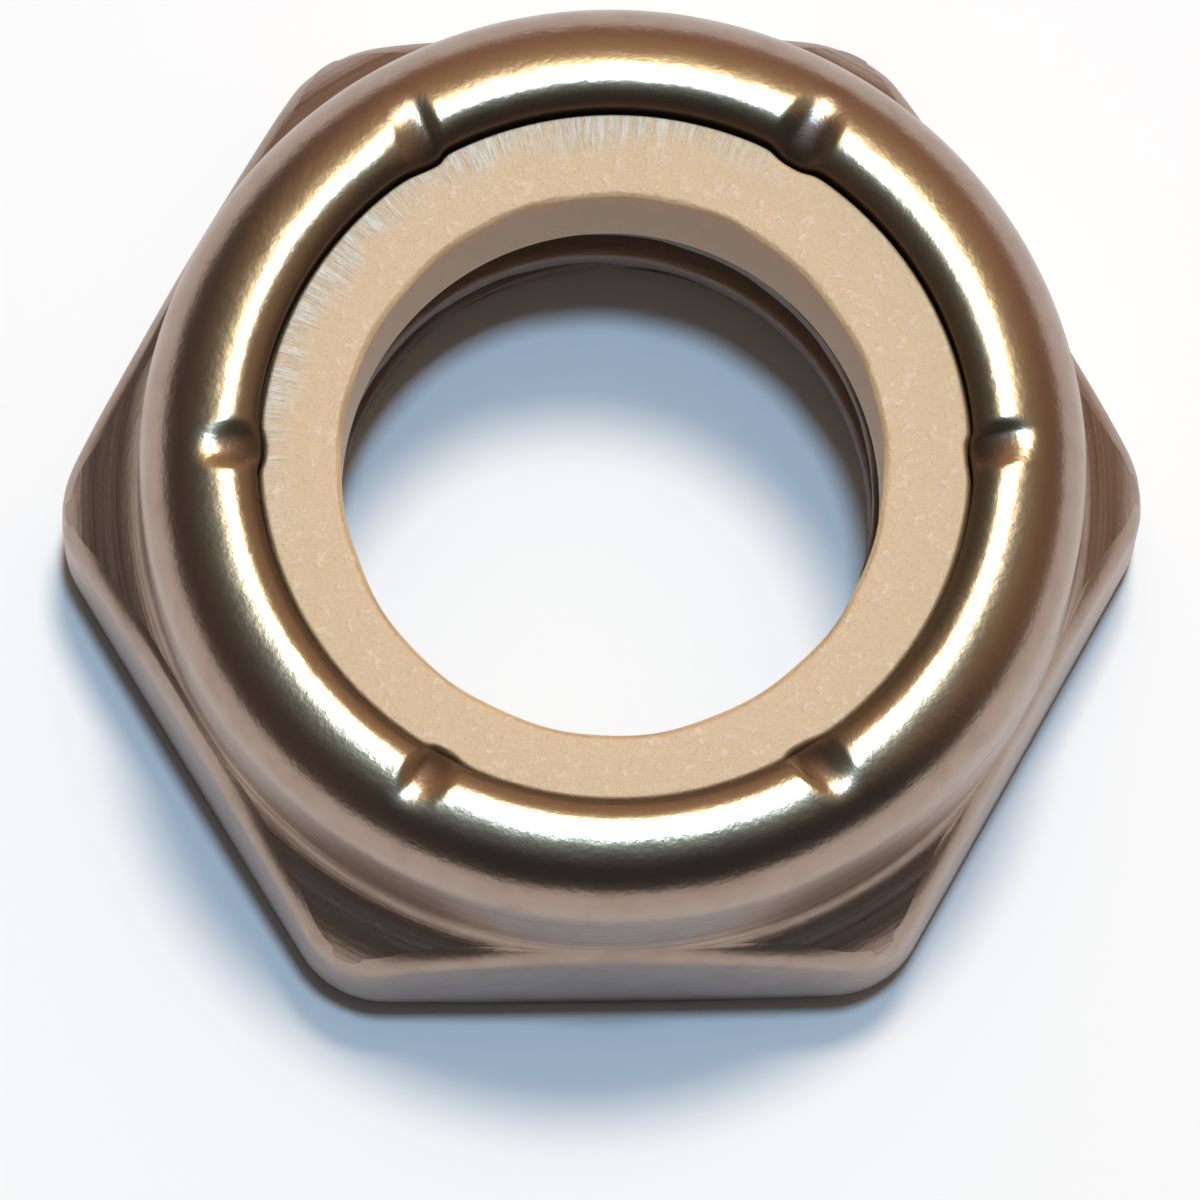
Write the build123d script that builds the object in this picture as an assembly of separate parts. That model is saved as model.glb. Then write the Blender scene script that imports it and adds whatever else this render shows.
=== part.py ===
from build123d import *
import math
import os

# Thin prevailing-torque hex nut with a plastic locking ring, for a 1/2-13 UNC bolt. Millimetres.
# The bearing face lies on Z = 0 and the bore runs along Z. Two corners of the hexagon lie along X.

# hexagon
across_flats = 19.05
corner_radius = 2.0            # upright edges of the hexagon
bearing_diameter = 18.5        # flat ring that seats on the work
bottom_chamfer_angle = 15.0    # from the bearing face up to the corners
upright_height = 1.9           # the round blank is upright up to here
crown_radius = 4.5             # and its corners lean inward from there
blank_allowance = 0.05         # the round blank stands this far proud of the hexagon's corners
rim_height = 3.4               # up to the edge of the shoulder
shoulder_angle = 26.0          # slope of the shoulder, from horizontal

# rolled collar
nut_height = 7.94
collar_diameter = 18.64
collar_wall = 1.0
foot_radius = 0.85             # concave fillet between collar and shoulder
outer_roll_radius = 1.65
inner_roll_radius = 0.56

# crimps that lock the ring, one over each corner
crimp_count = 6
crimp_reach = 0.9              # from the crest of the collar out to the pointed tip
crimp_slope = 14.0             # the pressed dent falls towards the bore
crimp_spread = 26.0            # and widens by this angle on each side
crimp_width = 1.1              # of the pressed lip
crimp_tongue = 0.15            # bulge of the pressed lip into the ring

# bore
bore_diameter = 10.75          # over the thread crests
bottom_sink_diameter = 12.9
bottom_sink_angle = 30.0       # from the bearing face
top_sink_diameter = 12.0
top_sink_angle = 40.0          # from the seat of the ring

# locking ring
seat_height = 4.7
ring_bore_diameter = 10.8
ring_chamfer = 0.12

# worked out from the sizes above
hexagon_side_count = 6
corner_reach = across_flats / 2 / math.cos(math.pi / hexagon_side_count)
rounded_reach = corner_reach - corner_radius * (1 / math.cos(math.pi / hexagon_side_count) - 1)
upright_radius = rounded_reach + blank_allowance
bearing_radius = bearing_diameter / 2
collar_radius = collar_diameter / 2
pocket_radius = collar_radius - collar_wall
crest_radius = collar_radius - outer_roll_radius
lip_radius = crest_radius - inner_roll_radius
roll_height = nut_height - outer_roll_radius
lip_underside = nut_height - collar_wall
ring_top = nut_height - inner_roll_radius
bore_radius = bore_diameter / 2
ring_bore_radius = ring_bore_diameter / 2


def rise(run, angle):
    """Height gained over a level run, at an angle in degrees."""
    return run * math.tan(math.radians(angle))


def blank_outline():
    """Half section of the steel blank as a lathe would see it, before the hexagon trims it."""
    crown_lean = math.asin((rim_height - upright_height) / crown_radius)
    rim_radius = upright_radius - crown_radius * (1 - math.cos(crown_lean))
    bottom_chamfer = rise(upright_radius - bearing_radius, bottom_chamfer_angle)

    # the foot fillet touches the upright collar and the sloping shoulder
    foot_turn = 90 - shoulder_angle
    foot_centre = collar_radius + foot_radius
    foot_end = foot_centre - foot_radius * math.cos(math.radians(foot_turn))
    foot_end_height = rim_height + rise(rim_radius - foot_end, shoulder_angle)
    foot_centre_height = foot_end_height + foot_radius * math.sin(math.radians(foot_turn))

    bottom_sink_radius = bottom_sink_diameter / 2
    top_sink_radius = top_sink_diameter / 2
    thread_start = rise(bottom_sink_radius - bore_radius, bottom_sink_angle)
    thread_end = seat_height - rise(top_sink_radius - bore_radius, top_sink_angle)

    with BuildLine(Plane.XZ) as outline:
        # bearing face, chamfer and leaning corner
        Polyline(
            (bottom_sink_radius, 0),
            (bearing_radius, 0),
            (upright_radius, bottom_chamfer),
            (upright_radius, upright_height),
        )
        CenterArc(
            (upright_radius - crown_radius, upright_height),
            crown_radius,
            0,
            math.degrees(crown_lean),
        )
        # shoulder, foot fillet and collar
        Line((rim_radius, rim_height), (foot_end, foot_end_height))
        CenterArc((foot_centre, foot_centre_height), foot_radius, 180, foot_turn)
        Line((collar_radius, foot_centre_height), (collar_radius, roll_height))
        CenterArc((crest_radius, roll_height), outer_roll_radius, 0, 90)
        CenterArc((crest_radius, ring_top), inner_roll_radius, 90, 90)
        # underside of the lip and pocket of the ring
        Polyline(
            (lip_radius, ring_top),
            (lip_radius, lip_underside),
            (crest_radius, lip_underside),
            (pocket_radius, roll_height),
        )
        # seat of the ring and threaded bore
        Polyline(
            (pocket_radius, roll_height),
            (pocket_radius, seat_height),
            (top_sink_radius, seat_height),
            (bore_radius, thread_end),
            (bore_radius, thread_start),
            (bottom_sink_radius, 0),
        )
    return outline.line


def ring_outline():
    """Half section of the plastic ring, which fills the pocket up to the lip."""
    with BuildLine(Plane.XZ) as outline:
        Polyline(
            (ring_bore_radius + ring_chamfer, seat_height),
            (pocket_radius, seat_height),
            (pocket_radius, roll_height),
            (crest_radius, lip_underside),
            (lip_radius, lip_underside),
            (lip_radius, ring_top),
            (ring_bore_radius + ring_chamfer, ring_top),
            (ring_bore_radius, ring_top - ring_chamfer),
            (ring_bore_radius, seat_height + ring_chamfer),
            (ring_bore_radius + ring_chamfer, seat_height),
        )
    return outline.line


def hexagon_prism():
    """Hexagonal bar with rounded edges, corners along X."""
    with BuildPart() as prism:
        with BuildSketch() as section:
            RegularPolygon(corner_reach, hexagon_side_count)
            fillet(section.vertices(), corner_radius)
        extrude(amount=2 * nut_height, both=True)
    return prism.part


def around_the_collar(shape):
    """Copies of a shape made on the +X side, one for each crimp."""
    step = 360 / crimp_count
    return [shape.rotate(Axis.Z, step * index) for index in range(crimp_count)]


def crimp_tongues():
    """Lobes of lip metal that the crimping tool presses inward over the ring."""
    lobe_radius = crimp_width / 2
    lobe_centre = lip_radius - crimp_tongue + lobe_radius
    lobe = Cylinder(
        lobe_radius,
        ring_top - lip_underside,
        align=(Align.CENTER, Align.CENTER, Align.MIN),
    )
    return around_the_collar(Pos(lobe_centre, 0, lip_underside) * lobe)


def crimp_dents():
    """Pointed dents that deepen and widen over the crest, from a tip on the outer roll to the bore."""
    tip_height = roll_height + math.sqrt(outer_roll_radius**2 - crimp_reach**2)
    climb = math.radians(crimp_spread - crimp_slope)
    tip = Plane(
        origin=(crest_radius + crimp_reach, 0, tip_height),
        x_dir=(0, 1, 0),
        z_dir=(-math.cos(climb), 0, math.sin(climb)),
    )
    length = 2 * (crimp_reach + inner_roll_radius)
    end_radius = rise(length, crimp_spread)
    dent = tip * Cone(0, end_radius, length, align=(Align.CENTER, Align.CENTER, Align.MIN))
    return around_the_collar(dent)


def nut_body():
    """Steel nut in one piece: hexagon, collar rolled over the ring, crimps and bore."""
    blank = revolve(make_face(blank_outline()), Axis.Z)
    blank = blank.rotate(Axis.Z, 180 / crimp_count)  # its seam runs between two dents
    body = blank & hexagon_prism()
    for tongue in crimp_tongues():
        body += tongue
    for dent in crimp_dents():
        body -= dent
    return body


def locking_ring():
    """Plastic ring, dented by the crimps at its upper outer edge."""
    ring = revolve(make_face(ring_outline()), Axis.Z)
    for tongue in crimp_tongues():
        ring -= tongue
    return ring


def write_part(shape, node):
    """Write one piece as a STEP file named after its node."""
    export_step(shape, os.path.join("parts", node + ".step"))


os.makedirs("parts", exist_ok=True)
write_part(nut_body(), "nut_body")
write_part(locking_ring(), "locking_ring")
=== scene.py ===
import bpy
import math
import numpy as np
from mathutils import Matrix, Vector


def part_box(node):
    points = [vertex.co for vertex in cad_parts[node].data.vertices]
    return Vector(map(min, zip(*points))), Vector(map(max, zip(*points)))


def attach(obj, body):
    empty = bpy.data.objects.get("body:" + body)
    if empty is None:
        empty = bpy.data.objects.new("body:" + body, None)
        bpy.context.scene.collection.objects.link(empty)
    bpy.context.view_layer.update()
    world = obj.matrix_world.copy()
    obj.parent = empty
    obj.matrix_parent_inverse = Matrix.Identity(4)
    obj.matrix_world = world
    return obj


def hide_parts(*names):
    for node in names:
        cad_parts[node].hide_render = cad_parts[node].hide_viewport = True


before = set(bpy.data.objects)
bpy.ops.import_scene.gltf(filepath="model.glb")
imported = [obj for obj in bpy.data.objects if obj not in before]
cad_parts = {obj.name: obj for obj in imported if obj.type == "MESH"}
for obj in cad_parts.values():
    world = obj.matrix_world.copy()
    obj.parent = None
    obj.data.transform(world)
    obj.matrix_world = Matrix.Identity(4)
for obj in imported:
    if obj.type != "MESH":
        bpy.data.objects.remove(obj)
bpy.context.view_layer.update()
bodyLow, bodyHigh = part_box("nut_body")
mm = 0.001


class Wire:
    # one output of a node, with arithmetic that adds further nodes
    tree = None

    def __init__(self, socket):
        self.socket = socket

    @classmethod
    def make(cls, kind, settings=None, inputs=None, output=0):
        node = cls.tree.nodes.new(kind)
        for name, value in (settings or {}).items():
            setattr(node, name, value)
        for name, value in (inputs or {}).items():
            if isinstance(value, Wire):
                cls.tree.links.new(value.socket, node.inputs[name])
            else:
                node.inputs[name].default_value = value
        return None if output is None else cls(node.outputs[output])

    def split(self):
        first = Wire.make("ShaderNodeSeparateXYZ", None, {0: self})
        return [Wire(socket) for socket in first.socket.node.outputs]

    def calc(self, operation, *others):
        return Wire.make("ShaderNodeMath", {"operation": operation}, dict(enumerate((self, *others))))

    def smooth(self, low, high):
        inputs = {"Value": self, "From Min": low, "From Max": high}
        return Wire.make("ShaderNodeMapRange", {"interpolation_type": "SMOOTHSTEP"}, inputs)

    def __add__(self, other):
        return self.calc("ADD", other)

    def __radd__(self, other):
        return self.calc("ADD", other)

    def __sub__(self, other):
        return self.calc("SUBTRACT", other)

    def __rsub__(self, other):
        return Wire.make("ShaderNodeMath", {"operation": "SUBTRACT"}, {0: other, 1: self})

    def __mul__(self, other):
        return self.calc("MULTIPLY", other)

    def __rmul__(self, other):
        return self.calc("MULTIPLY", other)

    def __truediv__(self, other):
        return self.calc("DIVIDE", other)


def mixColour(mask, first, second):
    inputs = {"Factor": mask, 6: first, 7: second}
    return Wire.make("ShaderNodeMix", {"data_type": "RGBA"}, inputs, 2)


def vectorOf(x, y, z):
    return Wire.make("ShaderNodeCombineXYZ", None, {0: x, 1: y, 2: z})


def lengthOf(vector):
    return Wire.make("ShaderNodeVectorMath", {"operation": "LENGTH"}, {0: vector}, "Value")


def towards(vector, direction):
    # cosine between a unit vector and a fixed direction
    inputs = {0: vector, 1: tuple(direction)}
    return Wire.make("ShaderNodeVectorMath", {"operation": "DOT_PRODUCT"}, inputs, "Value")


def noiseOf(vector, scale, detail=2.0, roughness=0.5):
    inputs = {"Vector": vector, "Scale": scale, "Detail": detail, "Roughness": roughness}
    return Wire.make("ShaderNodeTexNoise", None, inputs)


def bumpOf(height, depth, below=None):
    inputs = {"Strength": 1.0, "Distance": depth * mm, "Height": height}
    if below:
        inputs["Normal"] = below
    return Wire.make("ShaderNodeBump", None, inputs)


def attributeOf(name):
    return Wire.make("ShaderNodeAttribute", {"attribute_name": name}, None, "Fac")


def newMaterial(name):
    material = bpy.data.materials.new(name)
    material.use_nodes = True
    Wire.tree = material.node_tree
    Wire.tree.nodes.clear()
    return material


def surface(inputs):
    shader = Wire.make("ShaderNodeBsdfPrincipled", None, inputs)
    Wire.make("ShaderNodeOutputMaterial", None, {"Surface": shader}, None)


def aimedAt(tilt, turn):
    # unit vector tilted from overhead, in degrees, towards a turn from +X
    tilt, turn = math.radians(tilt), math.radians(turn)
    return Vector((math.sin(tilt) * math.cos(turn), math.sin(tilt) * math.sin(turn), math.cos(tilt)))


# sizes in millimetres, angles in degrees
bodyShape = {
    "flatSwell": 0.08,           # the pressed flats stand this far outside the nominal hexagon
    "cornerRadius": 1.9,
    "bearingRadius": 9.25,
    "bottomChamfer": 15.0,
    "uprightFoot": 0.3,          # the section of the upright starts here
    "uprightHeight": 1.9,
    "crownRadius": 4.5,
    "blankAllowance": 0.05,
    "rimHeight": 3.4,
    "rimRounding": 1.5,
    "shoulderAngle": 26.0,
    "topEdge": 0.42,
    "bottomEdge": 0.30,
    "footShadeFull": 0.3,            # the foot of the flats has its darkest painted shade up to here
    "footShadeHeight": 1.1,          # and no painted shade from here
    "collarRadius": 9.32,
    "collarWall": 1.0,
    "footRadius": 0.85,
    "outerRoll": 1.65,
    "innerRoll": 0.72,
    "lipTurn": 54.0,             # the roll ends here in a cut edge
    "seatHeight": 4.7,
    "bottomSinkRadius": 6.45,
    "bottomSinkAngle": 30.0,
    "topSinkRadius": 6.0,
    "topSinkAngle": 40.0,
    "collarOffset": (0.15, -0.12),  # from the hexagon's centre
    "offsetStart": 0.2,          # it begins this far above the rim
    "offsetHeight": 0.9,         # and is full after this height
    "lipOffset": (0.18, -0.22),  # the crest and the lip lean further
    "lipSquash": 0.995,          # along X
    "burnishStart": 6.3,         # the roll is burnished from this height
    "burnishHeight": 0.7,        # and fully so after this one
    "dentShadeRadius": 7.75,     # dents get painted shade inside this radius
    "dentShadeWidth": 0.45,
    "dentShade": 0.8,
}

thread = {
    "pitch": 25.4 / 13,
    "minorRadius": 5.375,
    "depth": 1.0,
    "crestShare": 0.25,
    "rootShare": 0.125,
    "flankRounding": 0.35,
    "crestHeightBehind": 4.0,  # a crest passes here on the +Y side
}

# angle, half width, depth at the lip, radius of the tip, pinch of the lip, softness of both sides, lean
crimps = [dict(zip(("angle", "half", "depth", "tip", "pinch", "soft", "lean"), values)) for values in (
    (0, 0.34, 0.28, 8.65, 0.10, (0.14, 0.06), 0.15),
    (58.5, 0.42, 0.34, 8.85, 0.13, (0.10, 0.10), -0.05),
    (120, 0.32, 0.26, 8.60, 0.12, (0.06, 0.18), -0.15),
    (179, 0.34, 0.28, 8.60, 0.12, (0.10, 0.09), 0.12),
    (240, 0.36, 0.31, 8.70, 0.12, (0.06, 0.11), -0.10),
    (301, 0.36, 0.32, 8.65, 0.10, (0.06, 0.12), 0.16),
)]

# what all crimps share
crimping = {
    "fullBefore": 0.05,  # a dent is full this far outside the lip
    "tipShare": 0.4,     # of its half width, left at the pointed tip
    "fallPower": 1.2,
    "foldHeight": 0.01,  # metal raised on both sides of a dent
    "foldAway": 0.2,
    "foldWidth": 0.1,
    "foldLength": 0.6,   # either way from the crest
}

gridCounts = {
    "denseHalf": 9.0,  # degrees on each side of a crimp
    "denseColumns": 60,
    "openColumns": 26,
    "crownPoints": 60,
    "rimPoints": 10,
    "shoulderPoints": 30,
    "footPoints": 50,
    "boreRows": 46,
}


def columnAngles():
    angles = []
    half = gridCounts["denseHalf"]
    for crimp, following in zip(crimps, [*crimps[1:], {"angle": crimps[0]["angle"] + 360}]):
        start, middle, end = crimp["angle"] - half, crimp["angle"] + half, following["angle"] - half
        angles.append(np.linspace(start, middle, gridCounts["denseColumns"], endpoint=False))
        angles.append(np.linspace(middle, end, gridCounts["openColumns"], endpoint=False))
    return np.radians(np.concatenate(angles))


theta = columnAngles()
columnCount = len(theta)
flatDistance = (bodyHigh.y - bodyLow.y) / mm / 2 + bodyShape["flatSwell"]
nutHeight = bodyHigh.z / mm
crestRadius = bodyShape["collarRadius"] - bodyShape["outerRoll"]
lipTurn = math.radians(bodyShape["lipTurn"])
lipRadius = crestRadius - bodyShape["innerRoll"] * math.sin(lipTurn)
rollHeight = nutHeight - bodyShape["outerRoll"]
lipUnderside = nutHeight - bodyShape["collarWall"]
lipHeight = nutHeight - bodyShape["innerRoll"] * (1 - math.cos(lipTurn))
pocketRadius = bodyShape["collarRadius"] - bodyShape["collarWall"]
halfSector = math.radians(30)
cornerCentre = (flatDistance - bodyShape["cornerRadius"]) / math.cos(halfSector)


def smoothStep(value):
    value = np.clip(value, 0, 1)
    return value * value * (3 - 2 * value)


def hexagonReach(angle):
    # distance from the axis to the rounded hexagon
    rounding = bodyShape["cornerRadius"]
    fromCorner = np.abs((angle + halfSector) % (2 * halfSector) - halfSector)
    flat = flatDistance / np.cos(halfSector - fromCorner)
    inside = np.maximum(rounding ** 2 - (cornerCentre * np.sin(fromCorner)) ** 2, 0)
    rounded = cornerCentre * np.cos(fromCorner) + np.sqrt(inside)
    flatHalf = (flatDistance - rounding) * math.tan(halfSector)
    return np.where(fromCorner < halfSector - math.atan(flatHalf / flatDistance), rounded, flat)


def roundedTurn(before, corner, after, radius, count):
    # arc of a radius between two straight legs
    before, corner, after = map(np.array, (before, corner, after))
    first = (before - corner) / np.linalg.norm(before - corner)
    second = (after - corner) / np.linalg.norm(after - corner)
    half = math.acos(first @ second) / 2
    centre = corner + (first + second) / np.linalg.norm(first + second) * radius / math.sin(half)
    start = corner + first * radius / math.tan(half) - centre
    stop = corner + second * radius / math.tan(half) - centre
    sweep = math.atan2(start[0] * stop[1] - start[1] * stop[0], start @ stop)
    points = []
    for turn in np.linspace(0, sweep, count):
        c, s = math.cos(turn), math.sin(turn)
        points.append(centre + (start[0] * c - start[1] * s, start[0] * s + start[1] * c))
    return np.array(points)


def arcPoints(centre, radius, angles):
    return np.stack([centre[0] + radius * np.cos(angles), centre[1] + radius * np.sin(angles)], -1)


def topCurve():
    # half section of the blank over crown, rim and shoulder, into the foot of the collar
    shape, counts = bodyShape, gridCounts
    uprightRadius = cornerCentre + shape["cornerRadius"] + shape["blankAllowance"]
    lean = math.asin((shape["rimHeight"] - shape["uprightHeight"]) / shape["crownRadius"])
    crownCentre = (uprightRadius - shape["crownRadius"], shape["uprightHeight"])
    crown = arcPoints(crownCentre, shape["crownRadius"], np.linspace(0, lean, counts["crownPoints"]))
    rim = crown[-1]
    slope = math.radians(shape["shoulderAngle"])
    footCentreRadius = shape["collarRadius"] + shape["footRadius"]
    footEnd = footCentreRadius - shape["footRadius"] * math.sin(slope)
    footEndHeight = rim[1] + (rim[0] - footEnd) * math.tan(slope)
    footCentre = (footCentreRadius, footEndHeight + shape["footRadius"] * math.cos(slope))
    shoulderEnd = (footEnd, footEndHeight)
    rounded = roundedTurn(crown[-6], rim, shoulderEnd, shape["rimRounding"], counts["rimPoints"])
    crown = crown[np.linalg.norm(crown - rim, axis=1) > np.linalg.norm(rounded[0] - rim)]
    shoulder = np.linspace(rounded[-1], shoulderEnd, counts["shoulderPoints"])[1:]
    footTurns = np.linspace(1.5 * math.pi - slope, math.pi, counts["footPoints"])[1:]
    foot = arcPoints(footCentre, shape["footRadius"], footTurns)
    points = np.concatenate([[(uprightRadius, shape["uprightFoot"])], crown, rounded, shoulder, foot])
    length = np.concatenate([[0], np.cumsum(np.linalg.norm(np.diff(points, axis=0), axis=1))])
    ends = np.cumsum([1 + len(crown), len(rounded) - 1, len(shoulder), len(foot)])
    return points, length, length[ends]


def crimpShape(radius, angle):
    # how far the crimps press each point of the roll down and in, and how much of the tool shows there
    down, inward, pressed = np.zeros_like(radius), np.zeros_like(radius), np.zeros_like(radius)
    tipShare, foldAway = crimping["tipShare"], crimping["foldAway"]
    for crimp in crimps:
        turn = (angle - math.radians(crimp["angle"]) + math.pi) % (2 * math.pi) - math.pi
        across = turn * crestRadius - crimp["lean"] * (radius - crestRadius)
        share = smoothStep((crimp["tip"] - radius) / (crimp["tip"] - lipRadius - crimping["fullBefore"]))
        half = crimp["half"] * (tipShare + (1 - tipShare) * np.sqrt(share))
        first, second = crimp["soft"]
        tool = 1 / (1 + np.exp((-across - half) / first)) / (1 + np.exp((across - half) / second))
        fold = np.exp(-((np.abs(across) - half - foldAway) / crimping["foldWidth"]) ** 2
                      - ((radius - crestRadius) / crimping["foldLength"]) ** 2)
        down += tool * share ** crimping["fallPower"] * crimp["depth"] - crimping["foldHeight"] * fold
        inward += tool * crimp["pinch"] * smoothStep((crestRadius - radius) / (crestRadius - lipRadius))
        pressed += tool * share
    return down, inward, pressed


def threadRadius(height, angle):
    # inside right-hand thread, its crests at the minor radius
    turns = (height - thread["crestHeightBehind"]) / thread["pitch"] - (angle - math.pi / 2) / (2 * math.pi)
    fromRoot = 0.5 - np.abs((turns + 0.5) % 1.0 - 0.5)
    flankStart, flankEnd = 0.5 - thread["crestShare"] / 2, thread["rootShare"] / 2
    share = np.clip((flankStart - fromRoot) / (flankStart - flankEnd), 0, 1)
    rounding = thread["flankRounding"]
    return thread["minorRadius"] + thread["depth"] * ((1 - rounding) * share + rounding * smoothStep(share))


class Loft:
    # closed section swept round the axis, row by row, with one value for each column
    def __init__(self):
        self.rows = []

    # stain is a mask of painted shade, which the materials darken
    def add(self, radius, height, offset=(0.0, 0.0), burnish=0.0, turned=0.0, stain=0.0):
        values = (radius, height, *offset, burnish, turned, stain)
        self.rows.append([np.broadcast_to(np.asarray(value, float), (columnCount,)) for value in values])

    def build(self, name):
        radius, height, shiftX, shiftY, burnish, turned, stain = np.array(self.rows).transpose(1, 0, 2)
        x, y = radius * np.cos(theta) + shiftX, radius * np.sin(theta) + shiftY
        points = np.stack([x, y, height], -1).reshape(-1, 3) * mm
        row, column = np.indices(radius.shape)
        nextRow, nextColumn = (row + 1) % len(radius), (column + 1) % columnCount
        corners = ((row, column), (row, nextColumn), (nextRow, nextColumn), (nextRow, column))
        faces = np.stack([r * columnCount + c for r, c in corners], -1).reshape(-1, 4)
        mesh = bpy.data.meshes.new(name)
        mesh.from_pydata(points.tolist(), [], faces.tolist())
        mesh.update()
        mesh.shade_smooth()
        for label, values in (("burnish", burnish), ("turned", turned), ("stain", stain)):
            attribute = mesh.attributes.new(label, "FLOAT", "POINT")
            attribute.data.foreach_set("value", values.ravel().astype(np.float32))
        piece = bpy.data.objects.new(name, mesh)
        bpy.context.scene.collection.objects.link(piece)
        print(name, len(mesh.polygons), "faces")
        return piece


def lipPlace(radius, share=1.0):
    # radius and offset of the lip, which is squashed and off centre, by its share of that lean
    squash = 1 - (1 - bodyShape["lipSquash"]) * share * np.cos(theta) ** 2
    start, end = bodyShape["collarOffset"], bodyShape["lipOffset"]
    return radius * squash, tuple(a + (b - a) * share for a, b in zip(start, end))


def addBottom(loft, reach):
    # bearing face, its chamfer and the lower edge of the flats; returns the height of that edge
    radius, edge = bodyShape["bearingRadius"], bodyShape["bottomEdge"]
    slope = math.tan(math.radians(bodyShape["bottomChamfer"]))
    for place in np.linspace(bodyShape["bottomSinkRadius"] + 0.05, radius - 0.02, 5):
        loft.add(place, 0, turned=0.6)
    for share in (0.04, 0.3, 0.6, 0.9):
        beyond = share * (reach - edge - radius)
        loft.add(radius + beyond, beyond * slope, turned=1)
    edgeHeight = (reach - radius) * slope
    # the rounded lower edge of the flats gets full painted shade
    for share in (0.0, 0.25, 0.5, 0.75, 1.0):
        inset = edge * (1 - share) ** 2
        loft.add(reach - inset, edgeHeight - inset * slope + edge * share ** 2, stain=1)
    return edgeHeight + edge


def addSides(loft, reach, lowest):
    # flats and corners, then crown, rim, shoulder and foot of the collar; returns the foot's height
    edge, thin = bodyShape["topEdge"], 0.012
    points, length, marks = topCurve()

    def along(place):
        return np.interp(place, length, points[:, 0]), np.interp(place, length, points[:, 1])

    wallEnd = np.interp(-reach, -points[:, 0], length)
    wallTop, dark = along(wallEnd)[1], bodyShape["footShadeFull"]
    # painted shade, darkest at the foot of the flats: the contact shadow at the floor and its reflection in
    # the flat
    for share in (0.02, 0.15, 0.3, 0.45, 0.6, 0.8, 0.98):
        height = lowest + share * (wallTop - edge - lowest)
        loft.add(reach, height, stain=1 - smoothStep((height - dark) / (bodyShape["footShadeHeight"] - dark)))
    startRadius, startHeight = along(wallEnd + edge)
    for t in (0.0, 0.2, 0.4, 0.6, 0.8, 0.93):
        radius = (1 - t ** 2) * reach + t ** 2 * startRadius
        loft.add(radius, (1 - t) ** 2 * (wallTop - edge) + 2 * t * (1 - t) * wallTop + t ** 2 * startHeight)
    stops = [wallEnd + edge]
    for mark in marks:
        stops.append(np.maximum(mark, stops[-1] + thin))
    stops[-1] = np.full(columnCount, length[-1])
    for low, high, count in zip(stops, stops[1:], (6, 6, 6, 10)):
        for share in np.arange(count) / count:
            radius, height = along(low + share * (high - low))
            raised = height - bodyShape["rimHeight"] - bodyShape["offsetStart"]
            lean = smoothStep(raised / bodyShape["offsetHeight"])
            offset = tuple(lean * value for value in bodyShape["collarOffset"])
            loft.add(radius, height, offset, turned=1)
    return points[-1][1]


def addRoll(loft, footTop):
    # collar, its roll over the ring, the cut edge of the lip and the hidden pocket; painted shade darkens
    # the lower inner roll, the cut edge, the pocket and the dents
    shape = bodyShape
    wall = shape["collarOffset"]
    for share in np.linspace(0, 1, 8)[:-1]:
        height = footTop + share * (rollHeight - footTop)
        loft.add(shape["collarRadius"], height, wall, burnish=0.2, turned=0.8)
    roll = []
    for turn in np.radians(np.linspace(0, 90, 34)):
        roll.append((crestRadius + shape["outerRoll"] * math.cos(turn),
                     rollHeight + shape["outerRoll"] * math.sin(turn), smoothStep(turn / math.pi * 2), 0))
    # the last value is painted shade, growing down the inner roll towards the cut edge and full on the edge
    # and under the lip
    for turn in np.linspace(0, lipTurn, 13)[1:]:
        roll.append((crestRadius - shape["innerRoll"] * math.sin(turn),
                     nutHeight - shape["innerRoll"] * (1 - math.cos(turn)), 1, (turn / lipTurn) ** 4))
    for height in np.linspace(lipHeight - 0.04, lipUnderside + 0.02, 5):
        roll.append((lipRadius - 0.01, height, 1, 1))
    for share in (0.05, 0.5, 0.95):
        roll.append((lipRadius + share * (crestRadius - lipRadius), lipUnderside, 1, 1))
    for radius, height, lean, stain in roll:
        down, inward, pressed = crimpShape(np.full(columnCount, radius), theta)
        placed, offset = lipPlace(radius - inward, lean)
        # painted shade inside the dents
        inner = smoothStep((shape["dentShadeRadius"] - radius) / shape["dentShadeWidth"])
        paintedDark = np.maximum(stain, pressed * inner * shape["dentShade"])
        burnish = smoothStep((height - shape["burnishStart"]) / shape["burnishHeight"])
        loft.add(placed, height - down, offset, burnish, stain=paintedDark)
    # painted shade in the hidden pocket
    for radius, height in ((pocketRadius, rollHeight), (pocketRadius, shape["seatHeight"] + 0.04)):
        loft.add(radius, height, wall, stain=1)
    loft.add(pocketRadius - 0.04, shape["seatHeight"], wall, stain=1)


def addBore(loft):
    # seat of the ring, upper sink, threaded bore and lower sink, with painted shade on the bore
    bottomSlope = math.tan(math.radians(bodyShape["bottomSinkAngle"]))
    topSlope = math.tan(math.radians(bodyShape["topSinkAngle"]))
    loft.add(bodyShape["topSinkRadius"] + 0.3, bodyShape["seatHeight"])
    for height in np.linspace(bodyShape["seatHeight"], 0.0, gridCounts["boreRows"]):
        lower = bodyShape["bottomSinkRadius"] - height / bottomSlope
        upper = bodyShape["topSinkRadius"] - (bodyShape["seatHeight"] - height) / topSlope
        loft.add(np.maximum(threadRadius(height, theta), max(lower, upper)), height, stain=0.6)


def makeBody():
    loft = Loft()
    reach = hexagonReach(theta)
    lowest = addBottom(loft, reach)
    footTop = addSides(loft, reach, lowest)
    addRoll(loft, footTop)
    addBore(loft)
    return loft.build("steelNut")


ringShape = {
    "holeAcross": (5.32, 5.48),     # half sizes along X and Y
    "holeCentre": (0.12, -0.41),    # from the hexagon's centre
    "topHeight": 7.33,
    "dish": 0.015,                  # the top sinks this far towards the hole
    "edgeFall": 0.34,               # the top falls beside the lip into a gap, which also gets painted shade
    "edgeWidth": 0.13,
    "lipGap": 0.03,
    "pocketGap": 0.06,
    "seatGap": 0.005,
    "chamfer": 0.12,
    "lowerEdge": 0.05,
    "waves": ((0.012, 7, 0), (0.01, 17, 1)),  # height, count and start of the worn edge's waves
}


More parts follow.
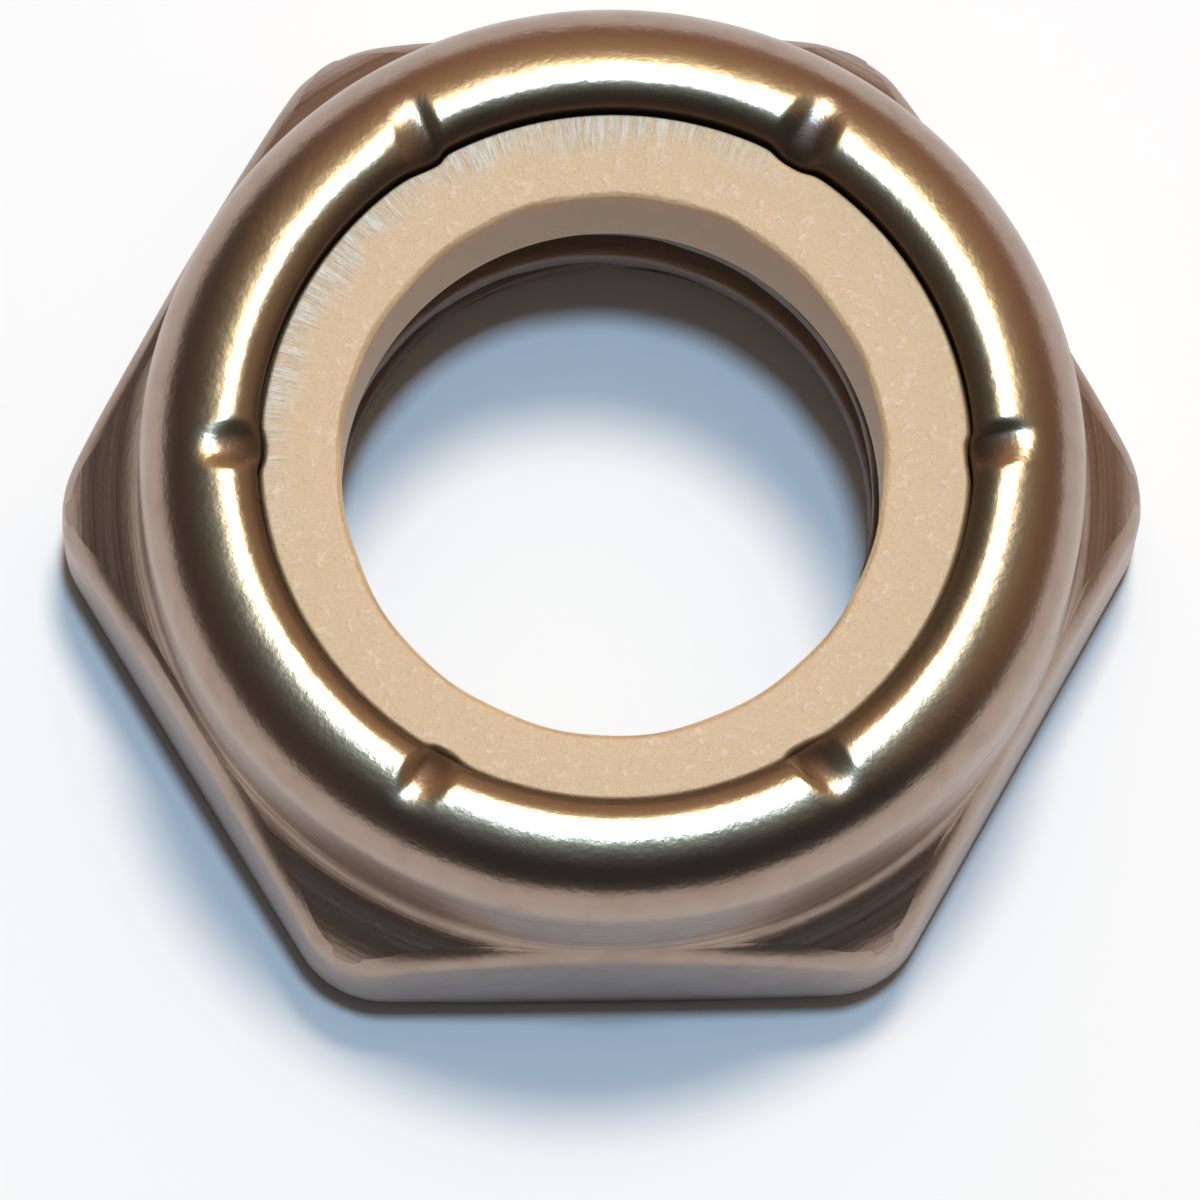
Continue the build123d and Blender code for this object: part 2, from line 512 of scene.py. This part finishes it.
def ringHole():
    # hole of the ring, off centre and worn uneven at its edge
    halfX, halfY = ringShape["holeAcross"]
    shiftX, shiftY = (hole - lip for hole, lip in zip(ringShape["holeCentre"], bodyShape["lipOffset"]))
    plain = halfX * halfY / np.hypot(halfY * np.cos(theta), halfX * np.sin(theta))
    shifted = plain + shiftX * np.cos(theta) + shiftY * np.sin(theta)
    waves = sum(height * np.sin(count * theta + start) for height, count, start in ringShape["waves"])
    return shifted, waves


def makeRing():
    shape = ringShape
    loft = Loft()
    hole, waves = ringHole()
    down, pinch = crimpShape(np.full(columnCount, lipRadius), theta)[:2]
    edge, offset = lipPlace(lipRadius - shape["lipGap"] - pinch)
    seat, outer = bodyShape["seatHeight"] + shape["seatGap"], pocketRadius - shape["pocketGap"]
    underLip = lipUnderside - shape["lipGap"] - down
    top, rim = shape["topHeight"], shape["topHeight"] - shape["dish"]
    lowerEdge = shape["lowerEdge"]
    # the third value of each row is painted shade, full in the gap beside the lip and under it
    rows = [(hole + shape["chamfer"] + share * (outer - lowerEdge - hole - shape["chamfer"]), seat, 0)
            for share in (0.0, 0.5, 1.0)]
    rows += [(outer, seat + lowerEdge, 0), (outer, rollHeight - 0.1, 0)]
    rows.append((crestRadius, underLip - 0.02, 0.5))
    rows.append((edge + 0.03, underLip, 1))
    rows.append((edge, np.minimum(underLip + 0.03, top - shape["edgeFall"] - 0.05), 1))
    for share in np.linspace(0, 1, 8):
        height = top - shape["edgeFall"] * (1 - share) ** 2
        rows.append((edge - share * shape["edgeWidth"], height, 1 - share))
    inner = hole + shape["chamfer"] + waves
    start = edge - shape["edgeWidth"]
    for share in np.linspace(0, 1, 26)[1:]:
        rows.append((start + share * (inner - start), top - shape["dish"] * share, 0))
    # painted shade on the chamfer of the hole
    for turn, stain in zip(np.radians((25, 50, 75)), (0.15, 0.4, 0.3)):
        fall = shape["chamfer"] * (1 - math.cos(turn))
        rows.append((inner - shape["chamfer"] * math.sin(turn), rim - fall, stain))
    for share in np.linspace(0, 1, 12):
        height = rim - shape["chamfer"] + share * (seat + 2 * shape["chamfer"] - rim)
        rows.append((hole + waves * (1 - share), height, 0))
    for radius, height, stain in rows:
        wall = smoothStep((hole + 0.06 - radius) / 0.04)  # painted light on the wall of the ring's hole, for light coming through the nylon
        loft.add(radius, height, offset, turned=wall * (1 - stain), stain=stain)
    return loft.build("nylonRing")


steelLook = {
    "colour": (0.40, 0.30, 0.245, 1.0),
    "stained": (0.365, 0.265, 0.21, 1.0),
    # painted highlight: a lighter golden colour on the crest
    "paintedHighlight": (0.50, 0.42, 0.29, 1.0),
    "streaked": (0.20, 0.13, 0.095, 1.0),
    # painted shade: a dark colour for the foot of the flats, the lip's lower roll and cut edge, the pocket,
    # the bore and the dents
    "paintedDark": (0.09, 0.06, 0.04, 1.0),
    "crest": (0.00765, 0.00790),  # metres up, where the collar's crest gets a painted highlight tint
    "stainMask": (0.4, 0.75),
    "streakMask": (0.4, 0.7),
    "streakShare": 0.6,
    "matte": 0.38,
    "burnished": 0.25,
    "peelRoughness": 0.08,
    "paintedShadeRoughness": 0.2,
    "lineScale": 7000.0,          # turning marks per metre
    "lineDepth": 0.005,
    "grainScale": 8000.0,
    "grainDepth": 0.009,
    "grainWorn": 0.3,             # of the grain, where the steel is burnished
    "peelScale": 1600.0,
    "peelDepth": 0.010,
}


def steelMaterial():
    look = steelLook
    material = newMaterial("burnishedSteel")
    position = Wire.make("ShaderNodeTexCoord", None, None, "Object")
    x, y, z = position.split()
    radius = lengthOf(vectorOf(x, y, 0.0))
    crest = z.smooth(*look["crest"])
    burnish, turned, stain = (attributeOf(name) for name in ("burnish", "turned", "stain"))
    lines = noiseOf(vectorOf(x / radius, y / radius, (z - radius) * look["lineScale"]), 1.0, 3.0, 0.6)
    grain = noiseOf(position, look["grainScale"], 3.0, 0.6)
    peel = noiseOf(position, look["peelScale"])
    roughness = look["matte"] + (look["burnished"] - look["matte"]) * burnish
    roughness = roughness + (peel - 0.5) * look["peelRoughness"] + stain * look["paintedShadeRoughness"]
    bumps = bumpOf(lines * turned, look["lineDepth"])
    bumps = bumpOf(grain * (1.0 - burnish * look["grainWorn"]), look["grainDepth"], bumps)
    bumps = bumpOf(peel, look["peelDepth"], bumps)
    tint = mixColour(peel.smooth(*look["stainMask"]), look["colour"], look["stained"])
    streaks = lines.smooth(*look["streakMask"]) * turned * look["streakShare"]
    tint = mixColour(streaks, tint, look["streaked"])
    # painted highlight tint on the crest
    tint = mixColour(crest, tint, look["paintedHighlight"])
    # painted shade from the mesh's mask, which is also rougher
    tint = mixColour(stain, tint, look["paintedDark"])
    surface({"Base Color": tint, "Metallic": 1.0, "Roughness": roughness, "Normal": bumps})
    return material


nylonLook = {
    "colour": (0.53, 0.367, 0.205, 1.0),
    "speckled": (0.72, 0.64, 0.50, 1.0),
    # real scuffs, whitened further by a painted glint of the lamps on that side of the rim
    "scuffGlint": (0.62, 0.63, 0.59, 1.0),
    # painted shade, for the gap beside the lip and the hole's chamfer
    "edge": (0.20, 0.12, 0.06, 1.0),
    "wall": (0.90, 0.66, 0.38, 1.0),  # painted light: the hole's wall is lighter and warmer, for light coming through the nylon
    "roughness": 0.42,
    "translucence": 0.35,
    "lightReach": 0.8,                # millimetres
    "scuffTurn": 125.0,               # middle of the scuffed side, degrees from +X
    "scuffSide": (0.2, 0.9),          # cosine of the angle to that middle
    "scuffRadius": (0.0059, 0.0066),  # metres, where the scuffs begin and are full
    "scuffWander": 0.0016,
    "scuffHeight": (0.0071, 0.0073),
    "scuffGlintShare": 0.75,
    "scratchScale": 70.0,
    "scratchDrift": 12.0,             # how a scratch changes outward
    "scratchMask": (0.30, 0.62),
    "speckleScale": 5000.0,
    "speckleMask": (0.52, 0.72),
    "speckleShare": 0.4,
    "cloudScale": 700.0,
    "cloudShare": 0.6,
    "bumpDepth": 0.035,
}


def nylonMaterial():
    # whitish speckle all over, a rim scuffed by radial scratches on one side with a painted glint on them,
    # painted shade at the lip's gap and the hole's chamfer, and painted light on the hole's wall
    look = nylonLook
    material = newMaterial("scuffedNylon")
    position = Wire.make("ShaderNodeTexCoord", None, None, "Object")
    x, y, z = position.split()
    radius = lengthOf(vectorOf(x, y, 0.0))
    across = vectorOf(x / radius, y / radius, 0.0)
    speckle = noiseOf(position, look["speckleScale"], 4.0, 0.7)
    cloud = noiseOf(position, look["cloudScale"], 3.0)
    spokes = vectorOf(x / radius, y / radius, radius * look["scratchDrift"])
    scratches = noiseOf(spokes, look["scratchScale"], 3.0, 0.65)
    side = towards(across, aimedAt(90, look["scuffTurn"])).smooth(*look["scuffSide"])
    rim = (radius + (cloud - 0.5) * look["scuffWander"]).smooth(*look["scuffRadius"])
    scuffsAndGlints = side * rim * scratches.smooth(*look["scratchMask"]) * z.smooth(*look["scuffHeight"])
    speckles = speckle.smooth(*look["speckleMask"]) * look["speckleShare"]
    colour = mixColour(speckles, look["colour"], look["speckled"])
    # scuffs with a painted glint
    colour = mixColour(scuffsAndGlints * look["scuffGlintShare"], colour, look["scuffGlint"])
    # painted shade at the lip's gap and the hole's chamfer
    colour = mixColour(attributeOf("stain"), colour, look["edge"])
    # painted light on the wall of the hole
    colour = mixColour(attributeOf("turned"), colour, look["wall"])
    bumps = bumpOf(speckle + cloud * look["cloudShare"] + scratches * scuffsAndGlints, look["bumpDepth"])
    surface({"Base Color": colour, "Roughness": look["roughness"], "Normal": bumps,
             "Subsurface Weight": look["translucence"], "Subsurface Scale": look["lightReach"] * mm})
    return material


# distances in metres, angles in degrees, turns counted from +X
studio = {
    "floorColour": (0.86, 0.86, 0.86, 1.0),
    "floorHalf": 3.0,
    "distance": 0.7,
    "keyTilt": 20.5,
    "keyTurn": 75.0,
    "keyHalf": (6.0, 6.0),
    "keyPower": 3.20,
    "keyColour": (1.0, 0.88, 0.725),
    "fillTilt": 3.5,
    "fillTurn": 55.0,
    "fillHalf": (2.5, 2.5),
    "fillPower": 2.55,
    "fillColour": (0.474, 0.715, 1.0),
}

# colours of the room round the nut, by direction
room = {
    "dark": (0.045, 0.048, 0.045, 1.0),
    "ceiling": (0.14, 0.16, 0.18, 1.0),
    "behind": (0.45, 0.26, 0.17, 1.0),
    "right": (0.30, 0.19, 0.12, 1.0),
    "left": (0.10, 0.08, 0.07, 1.0),
    "glow": (0.9, 0.75, 0.48, 1.0),
    "ceilingEdge": (0.73, 0.93),  # of the direction's Z
    "rightEdge": (0.25, 0.7),     # of its X
    "rightFront": (-0.6, -0.1),   # of its Y
    "leftEdge": (0.3, 0.8),       # of its -X
    "behindEdge": (0.3, 0.65),    # of its Y
    "behindSide": (-0.75, -0.2),  # of its X
    "glowEdge": (0.91, 0.97),     # cosine of the angle to the key lamp
}


def makeFloor():
    half = studio["floorHalf"]
    mesh = bpy.data.meshes.new("floor")
    corners = [(-half, -half, 0), (half, -half, 0), (half, half, 0), (-half, half, 0)]
    mesh.from_pydata(corners, [], [(0, 1, 2, 3)])
    floor = bpy.data.objects.new("floor", mesh)
    bpy.context.scene.collection.objects.link(floor)
    material = newMaterial("paleFloor")
    surface({"Base Color": studio["floorColour"], "Roughness": 0.9, "Specular IOR Level": 0.2})
    mesh.materials.append(material)


def makeLamp(name):
    direction = aimedAt(studio[name + "Tilt"], studio[name + "Turn"])
    lamp = bpy.data.lights.new(name, "AREA")
    lamp.shape = "ELLIPSE"
    lamp.size, lamp.size_y = (2 * studio["distance"] * math.tan(math.radians(half))
                              for half in studio[name + "Half"])
    lamp.energy = studio[name + "Power"]
    lamp.color = studio[name + "Colour"]
    holder = bpy.data.objects.new(name, lamp)
    holder.location = direction * studio["distance"]
    holder.rotation_mode = "QUATERNION"
    holder.rotation_quaternion = direction.to_track_quat("Z", "Y")
    bpy.context.scene.collection.objects.link(holder)


def makeRoom():
    world = bpy.data.worlds.new("room")
    bpy.context.scene.world = world
    world.use_nodes = True
    Wire.tree = world.node_tree
    Wire.tree.nodes.clear()
    direction = Wire.make("ShaderNodeTexCoord", None, None, "Generated")
    x, y, z = direction.split()
    colour = mixColour(z.smooth(*room["ceilingEdge"]), room["dark"], room["ceiling"])
    right = x.smooth(*room["rightEdge"]) * y.smooth(*room["rightFront"])
    colour = mixColour(right, colour, room["right"])
    colour = mixColour((0.0 - x).smooth(*room["leftEdge"]), colour, room["left"])
    behind = y.smooth(*room["behindEdge"]) * x.smooth(*room["behindSide"])
    colour = mixColour(behind, colour, room["behind"])
    nearKey = towards(direction, aimedAt(studio["keyTilt"], studio["keyTurn"]))
    colour = mixColour(nearKey.smooth(*room["glowEdge"]), colour, room["glow"])
    background = Wire.make("ShaderNodeBackground", None, {"Color": colour, "Strength": 1.0})
    Wire.make("ShaderNodeOutputWorld", None, {"Surface": background}, None)


# pixels, millimetres and degrees
view = {
    "focal": 11323.86,
    "frameWidth": 1200,
    "sensor": 36.0,
    "distance": 228.6,
    "elevation": 74.633,
    "azimuth": -4.434,
    "roll": 3.529,
    "aim": (-0.021, -1.177, 0.0),
}


def makeCamera():
    camera = bpy.data.objects.new("camera", bpy.data.cameras.new("camera"))
    camera.data.sensor_width = view["sensor"]
    camera.data.lens = view["sensor"] * view["focal"] / view["frameWidth"]
    camera.data.clip_start, camera.data.clip_end = 0.01, 20
    back = aimedAt(90 - view["elevation"], view["azimuth"] - 90)
    right = Vector((0, 0, 1)).cross(back).normalized()
    up = back.cross(right)
    roll = math.radians(view["roll"])
    turnedRight = right * math.cos(roll) + up * math.sin(roll)
    turnedUp = up * math.cos(roll) - right * math.sin(roll)
    place = (Vector(view["aim"]) + back * view["distance"]) * mm
    axes = Matrix((turnedRight, turnedUp, back)).transposed()
    camera.matrix_world = Matrix.Translation(place) @ axes.to_4x4()
    bpy.context.scene.collection.objects.link(camera)
    bpy.context.scene.camera = camera


nut = makeBody()
nut.data.materials.append(steelMaterial())
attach(nut, "root")
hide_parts("nut_body")

ring = makeRing()
ring.data.materials.append(nylonMaterial())
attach(ring, "root")
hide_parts("locking_ring")

makeFloor()
makeLamp("key")
makeLamp("fill")
makeRoom()
makeCamera()
bpy.context.scene.view_settings.view_transform = "Standard"
print("floor, lamps, room and camera are in place")
